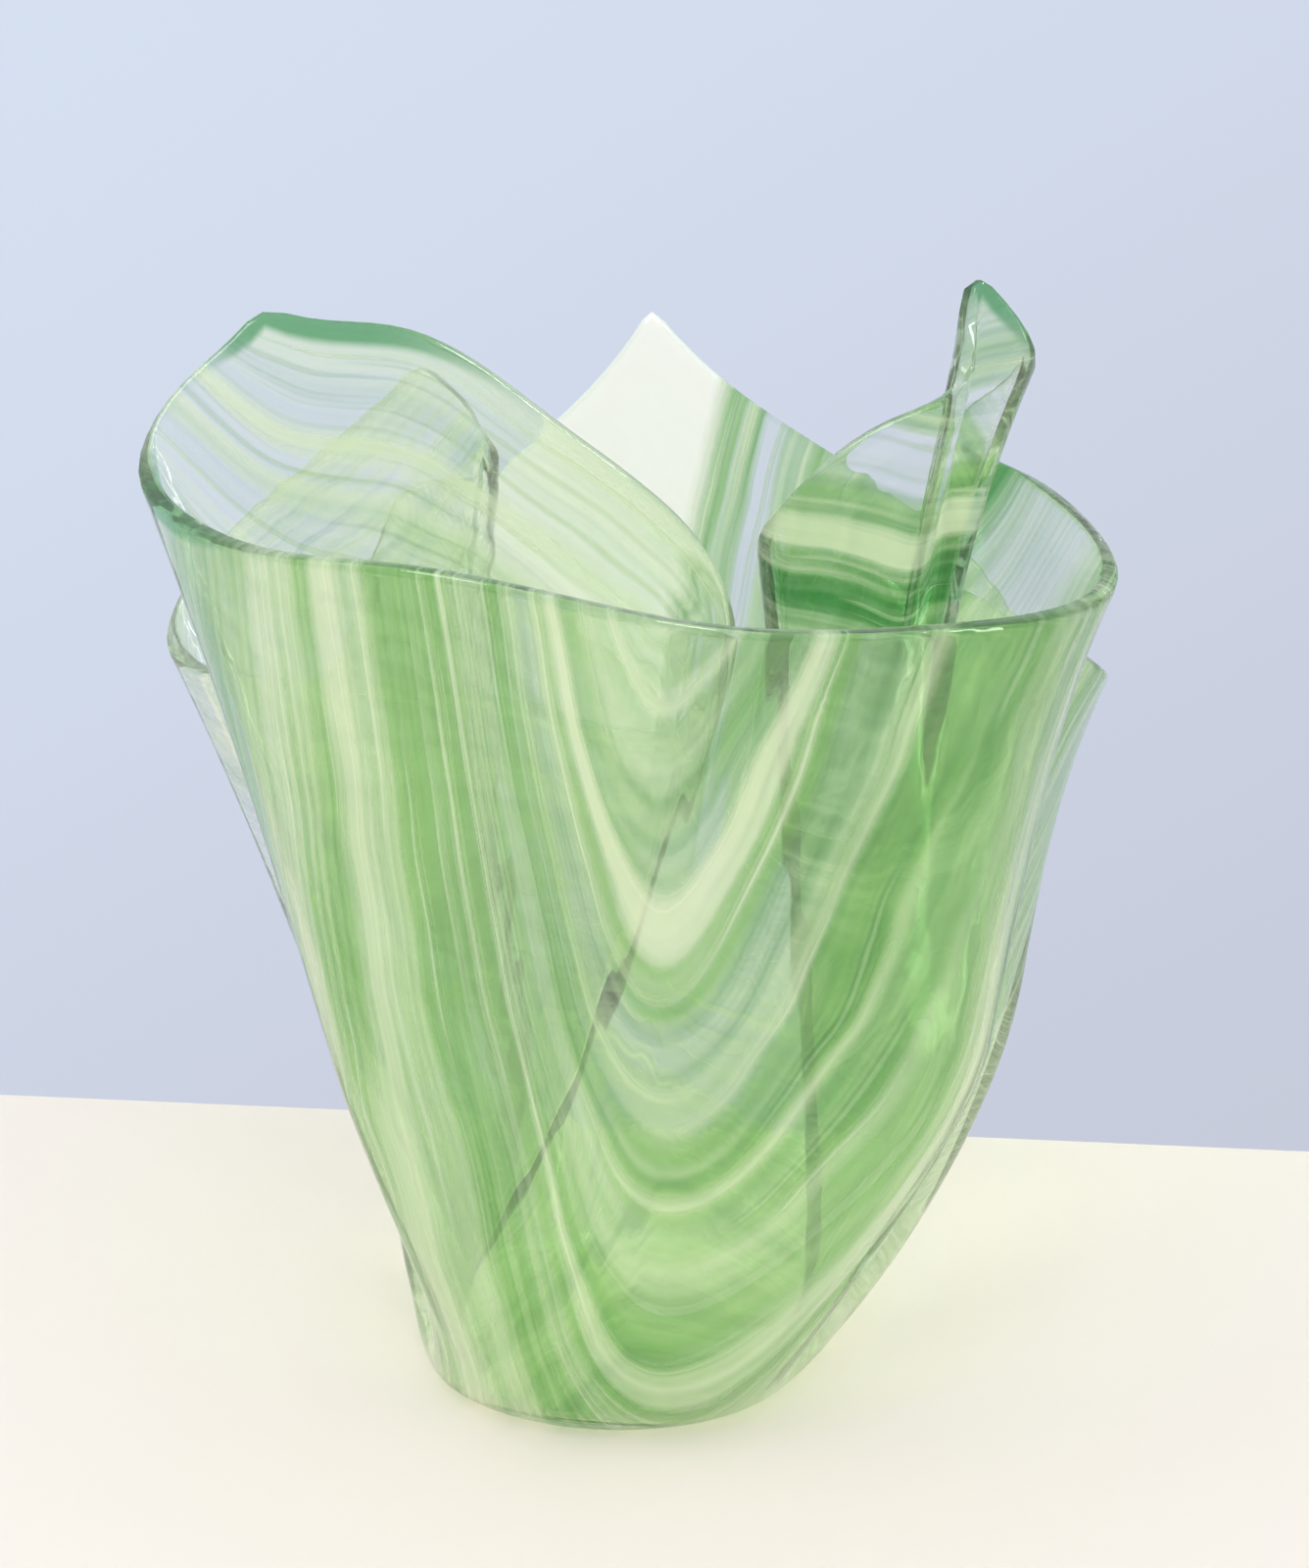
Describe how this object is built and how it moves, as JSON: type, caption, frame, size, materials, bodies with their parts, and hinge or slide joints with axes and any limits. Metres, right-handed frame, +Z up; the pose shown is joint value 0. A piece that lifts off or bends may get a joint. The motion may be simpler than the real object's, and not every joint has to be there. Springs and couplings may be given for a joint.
{
  "type": "handkerchief vase",
  "caption": "Free-form glass vase, one square sheet of streaky green glass slumped into soft upright folds over a flat round foot.",
  "frame": {"origin": "middle of the flat round foot, on the surface it stands on", "axes": "+Z up out of the foot, -Y towards the wide front fold, +X towards the rolled corner's side"},
  "size_m": [0.1585, 0.1352, 0.1726],
  "materials": {
    "streaky_glass": "gloss"
  },
  "bodies": {
    "root": {"vase": "streaky_glass"}
  },
  "joints": []
}
